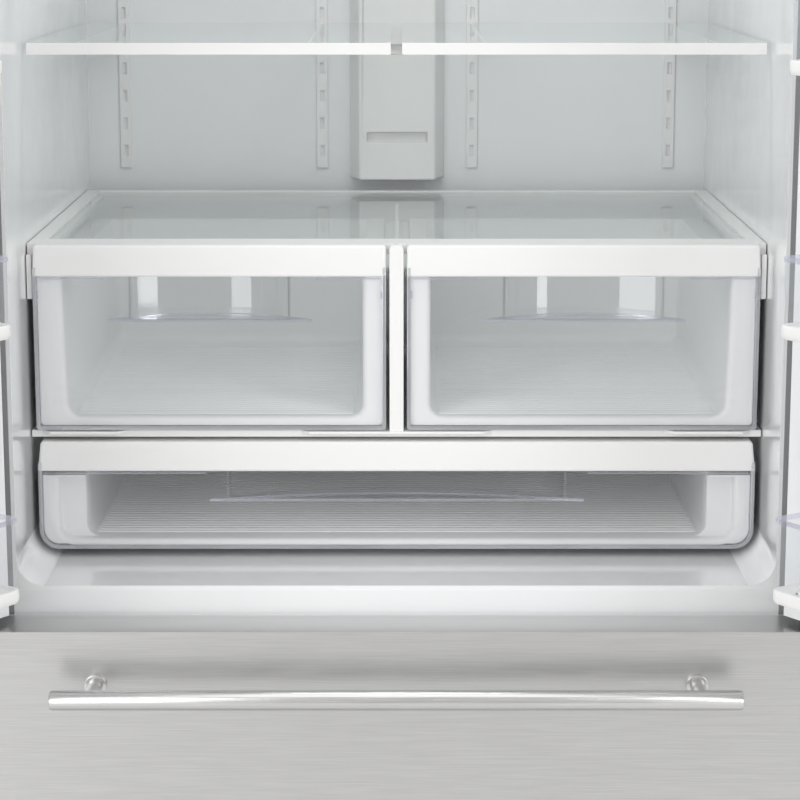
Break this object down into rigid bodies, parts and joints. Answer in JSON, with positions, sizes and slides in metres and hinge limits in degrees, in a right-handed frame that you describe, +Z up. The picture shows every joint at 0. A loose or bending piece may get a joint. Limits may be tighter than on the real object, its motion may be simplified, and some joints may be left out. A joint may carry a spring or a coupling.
{
  "type": "french door refrigerator",
  "caption": "French door refrigerator with both doors open, glass shelves, clear crisper and deli drawers, door bins and a freezer drawer.",
  "frame": {"origin": "middle of the case's footprint, on the floor under the levelling feet", "axes": "+Z up, -Y towards the user in front of the doors, +X to the user's right"},
  "size_m": [1.4754, 1.1742, 1.777],
  "materials": {
    "case_paint": "satin",
    "stainless": "satin",
    "galvanised": "satin",
    "foam": "matte",
    "liner_white": "gloss",
    "drawer_white": "satin",
    "clear_plastic": "gloss",
    "shelf_glass": "gloss",
    "gasket_grey": "matte",
    "dark_plastic": "matte",
    "black_paint": "satin",
    "bare_aluminium": "satin"
  },
  "bodies": {
    "cabinet": {"air_tower": "liner_white", "back_panel": "galvanised", "base_panel": "galvanised", "cabinet_foam": "foam", "case_wrapper": "case_paint", "ceiling_console": "liner_white", "centre_rail": "case_paint", "compressor": "black_paint", "condenser": "black_paint", "cord_gland": "dark_plastic", "crisper_cover_frame": "drawer_white", "crisper_cover_glass": "shelf_glass", "deli_cover": "drawer_white", "door_hinges": "case_paint", "evaporator": "bare_aluminium", "evaporator_cover": "liner_white", "freezer_liner": "liner_white", "freezer_rails": "stainless", "fresh_food_liner": "liner_white", "hinge_covers": "dark_plastic", "hinge_screws": "stainless", "levelling_feet": "dark_plastic", "rear_cover": "galvanised", "shelf_frames": "drawer_white", "shelf_glass": "shelf_glass", "shelf_ladders": "drawer_white", "toe_grille": "dark_plastic"},
    "left_door": {"left_door_bin_bases": "drawer_white", "left_door_bin_walls": "clear_plastic", "left_door_foam": "foam", "left_door_gasket": "gasket_grey", "left_door_handle": "stainless", "left_door_liner": "liner_white", "left_door_skin": "stainless"},
    "right_door": {"right_door_bin_bases": "drawer_white", "right_door_bin_walls": "clear_plastic", "right_door_foam": "foam", "right_door_gasket": "gasket_grey", "right_door_handle": "stainless", "right_door_liner": "liner_white", "right_door_skin": "stainless"},
    "flap": {"centre_flap": "drawer_white"},
    "left_crisper": {"left_crisper_fascia": "drawer_white", "left_crisper_front": "clear_plastic", "left_crisper_pan": "drawer_white"},
    "right_crisper": {"right_crisper_fascia": "drawer_white", "right_crisper_front": "clear_plastic", "right_crisper_pan": "drawer_white"},
    "deli_drawer": {"deli_pan": "drawer_white", "deli_front": "clear_plastic", "deli_fascia": "drawer_white"},
    "freezer_drawer": {"freezer_drawer_skin": "stainless", "freezer_drawer_foam": "foam", "freezer_drawer_liner": "liner_white", "freezer_gasket": "gasket_grey", "freezer_handle": "stainless", "drawer_runners": "stainless", "lower_basket": "drawer_white"},
    "freezer_basket": {"upper_basket": "drawer_white"},
    "fan": {"fan_rotor": "dark_plastic"}
  },
  "joints": [
    {"name": "left_door_hinge", "type": "hinge", "parent": "cabinet", "child": "left_door", "pos_m": [-0.432, -0.4075, 1.2], "axis": [0, 0, -1], "range_deg": [-125, 0]},
    {"name": "right_door_hinge", "type": "hinge", "parent": "cabinet", "child": "right_door", "pos_m": [0.432, -0.4075, 1.2], "axis": [0, 0, 1], "range_deg": [-125, 0]},
    {"name": "flap_hinge", "type": "hinge", "parent": "left_door", "child": "flap", "pos_m": [-0.62113, -0.76216, 1.2], "axis": [0, 0, 1], "range_deg": [-90, 0]},
    {"name": "left_crisper_slide", "type": "slide", "parent": "cabinet", "child": "left_crisper", "axis": [0, -1, 0], "range_m": [0, 0.26]},
    {"name": "right_crisper_slide", "type": "slide", "parent": "cabinet", "child": "right_crisper", "axis": [0, -1, 0], "range_m": [0, 0.26]},
    {"name": "deli_slide", "type": "slide", "parent": "cabinet", "child": "deli_drawer", "axis": [0, -1, 0], "range_m": [0, 0.26]},
    {"name": "freezer_slide", "type": "slide", "parent": "cabinet", "child": "freezer_drawer", "axis": [0, -1, 0], "range_m": [0, 0.36]},
    {"name": "freezer_basket_slide", "type": "slide", "parent": "cabinet", "child": "freezer_basket", "axis": [0, -1, 0], "range_m": [0, 0.324]},
    {"name": "fan_spin", "type": "hinge", "parent": "cabinet", "child": "fan", "pos_m": [0.053, 0.264, 0.1258], "axis": [1, 0, 0], "continuous": true}
  ],
  "couplings": [
    {"joint": "freezer_basket_slide", "follows": "freezer_slide", "ratio": 0.9}
  ]
}
